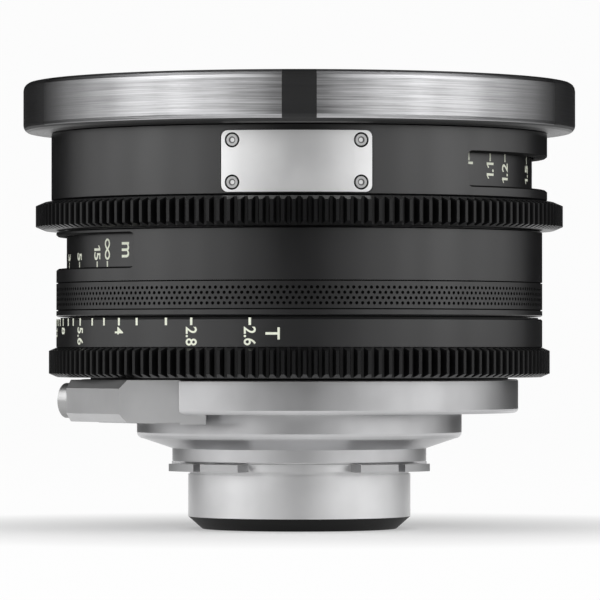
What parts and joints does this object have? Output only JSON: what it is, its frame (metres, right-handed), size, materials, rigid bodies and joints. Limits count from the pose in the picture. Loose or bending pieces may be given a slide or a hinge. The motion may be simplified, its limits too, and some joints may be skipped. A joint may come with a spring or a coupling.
{
  "type": "cinema prime lens",
  "caption": "Round cinema prime lens with brushed front ring, geared focus and iris rings, scale windows, blade iris, moving focus group, data port and bayonet mount.",
  "frame": {"origin": "on the optical axis, in the plane of the rear end face that the lens stands on", "axes": "+Z along the optical axis towards the front of the lens, -Y towards the nameplate, +X to the right of it"},
  "size_m": [0.134, 0.134, 0.108],
  "materials": {
    "black_anodised": "satin",
    "gear_black": "satin",
    "grip_black": "matte",
    "plate_silver": "satin",
    "matte_black": "matte",
    "inner_metal": "satin",
    "satin_silver": "satin",
    "brushed_silver": "brushed",
    "connector_metal": "satin",
    "screw_steel": "satin",
    "blade_steel": "satin",
    "brass": "satin",
    "insulator": "matte",
    "coated_glass": "polished"
  },
  "bodies": {
    "lens_body": {"rear_baffle": "matte_black", "lens_mount": "satin_silver", "mount_shim": "screw_steel", "mount_base": "satin_silver", "mount_screws": "screw_steel", "rear_housing": "satin_silver", "housing_screws": "screw_steel", "rear_cell": "matte_black", "rear_element_1": "coated_glass", "rear_element_2": "coated_glass", "rear_element_3": "coated_glass", "rear_element_4": "coated_glass", "rear_spacers": "matte_black", "rear_retainer": "matte_black", "data_port": "satin_silver", "data_port_screws": "screw_steel", "connector_shell": "connector_metal", "connector_insert": "insulator", "connector_contacts": "brass", "iris_journal": "matte_black", "iris_plate": "matte_black", "iris_plate_screws": "screw_steel", "main_barrel": "black_anodised", "grip_band": "grip_black", "inner_barrel": "inner_metal", "barrel_screws": "screw_steel", "front_barrel": "black_anodised", "nameplate": "plate_silver", "nameplate_screws": "screw_steel", "front_ring": "brushed_silver", "front_cell": "matte_black", "front_screws": "screw_steel", "front_element_1": "coated_glass", "front_element_2": "coated_glass", "front_retainers": "matte_black", "front_bezel": "matte_black"},
    "focus_ring": {"focus_gear": "gear_black", "focus_scale_sleeve": "black_anodised", "focus_cam_sleeve": "inner_metal"},
    "focus_carriage": {"focus_carriage": "inner_metal", "focus_followers": "screw_steel", "focus_element_1": "coated_glass", "focus_element_2": "coated_glass", "focus_spacer": "matte_black", "focus_retainer": "matte_black"},
    "iris_ring": {"iris_gear": "gear_black", "iris_scale_ring": "black_anodised", "iris_cam_ring": "inner_metal", "iris_drive_pin": "screw_steel"},
    "iris_blade_1": {"iris_blade_1": "blade_steel"},
    "iris_blade_2": {"iris_blade_2": "blade_steel"},
    "iris_blade_3": {"iris_blade_3": "blade_steel"},
    "iris_blade_4": {"iris_blade_4": "blade_steel"},
    "iris_blade_5": {"iris_blade_5": "blade_steel"},
    "iris_blade_6": {"iris_blade_6": "blade_steel"},
    "iris_blade_7": {"iris_blade_7": "blade_steel"},
    "iris_blade_8": {"iris_blade_8": "blade_steel"},
    "iris_blade_9": {"iris_blade_9": "blade_steel"}
  },
  "joints": [
    {"name": "focus_turn", "type": "hinge", "parent": "lens_body", "child": "focus_ring", "pos_m": [0, 0, 0.0756], "axis": [0, 0, 1], "range_deg": [-36.6, 163.4]},
    {"name": "focus_slide", "type": "slide", "parent": "lens_body", "child": "focus_carriage", "axis": [0, 0, 1], "range_m": [-0.00166, 0.00737]},
    {"name": "iris_turn", "type": "hinge", "parent": "lens_body", "child": "iris_ring", "pos_m": [0, 0, 0.0437], "axis": [0, 0, 1], "range_deg": [-78.8, 8]},
    {"name": "blade_1_turn", "type": "hinge", "parent": "lens_body", "child": "iris_blade_1", "pos_m": [0, -0.0242, 0.0425], "axis": [0, 0, 1], "range_deg": [-25, 2.6]},
    {"name": "blade_2_turn", "type": "hinge", "parent": "lens_body", "child": "iris_blade_2", "pos_m": [0.01556, -0.01854, 0.0425], "axis": [0, 0, 1], "range_deg": [-25, 2.6]},
    {"name": "blade_3_turn", "type": "hinge", "parent": "lens_body", "child": "iris_blade_3", "pos_m": [0.02383, -0.0042, 0.0425], "axis": [0, 0, 1], "range_deg": [-25, 2.6]},
    {"name": "blade_4_turn", "type": "hinge", "parent": "lens_body", "child": "iris_blade_4", "pos_m": [0.02096, 0.0121, 0.0425], "axis": [0, 0, 1], "range_deg": [-25, 2.6]},
    {"name": "blade_5_turn", "type": "hinge", "parent": "lens_body", "child": "iris_blade_5", "pos_m": [0.00828, 0.02274, 0.0425], "axis": [0, 0, 1], "range_deg": [-25, 2.6]},
    {"name": "blade_6_turn", "type": "hinge", "parent": "lens_body", "child": "iris_blade_6", "pos_m": [-0.00828, 0.02274, 0.0425], "axis": [0, 0, 1], "range_deg": [-25, 2.6]},
    {"name": "blade_7_turn", "type": "hinge", "parent": "lens_body", "child": "iris_blade_7", "pos_m": [-0.02096, 0.0121, 0.0425], "axis": [0, 0, 1], "range_deg": [-25, 2.6]},
    {"name": "blade_8_turn", "type": "hinge", "parent": "lens_body", "child": "iris_blade_8", "pos_m": [-0.02383, -0.0042, 0.0425], "axis": [0, 0, 1], "range_deg": [-25, 2.6]},
    {"name": "blade_9_turn", "type": "hinge", "parent": "lens_body", "child": "iris_blade_9", "pos_m": [-0.01556, -0.01854, 0.0425], "axis": [0, 0, 1], "range_deg": [-25, 2.6]}
  ],
  "couplings": [
    {"joint": "focus_slide", "follows": "focus_turn", "m_per_rad": 0.0025783},
    {"joint": "blade_1_turn", "follows": "iris_turn", "ratio": 0.315},
    {"joint": "blade_2_turn", "follows": "iris_turn", "ratio": 0.315},
    {"joint": "blade_3_turn", "follows": "iris_turn", "ratio": 0.315},
    {"joint": "blade_4_turn", "follows": "iris_turn", "ratio": 0.315},
    {"joint": "blade_5_turn", "follows": "iris_turn", "ratio": 0.315},
    {"joint": "blade_6_turn", "follows": "iris_turn", "ratio": 0.315},
    {"joint": "blade_7_turn", "follows": "iris_turn", "ratio": 0.315},
    {"joint": "blade_8_turn", "follows": "iris_turn", "ratio": 0.315},
    {"joint": "blade_9_turn", "follows": "iris_turn", "ratio": 0.315}
  ]
}
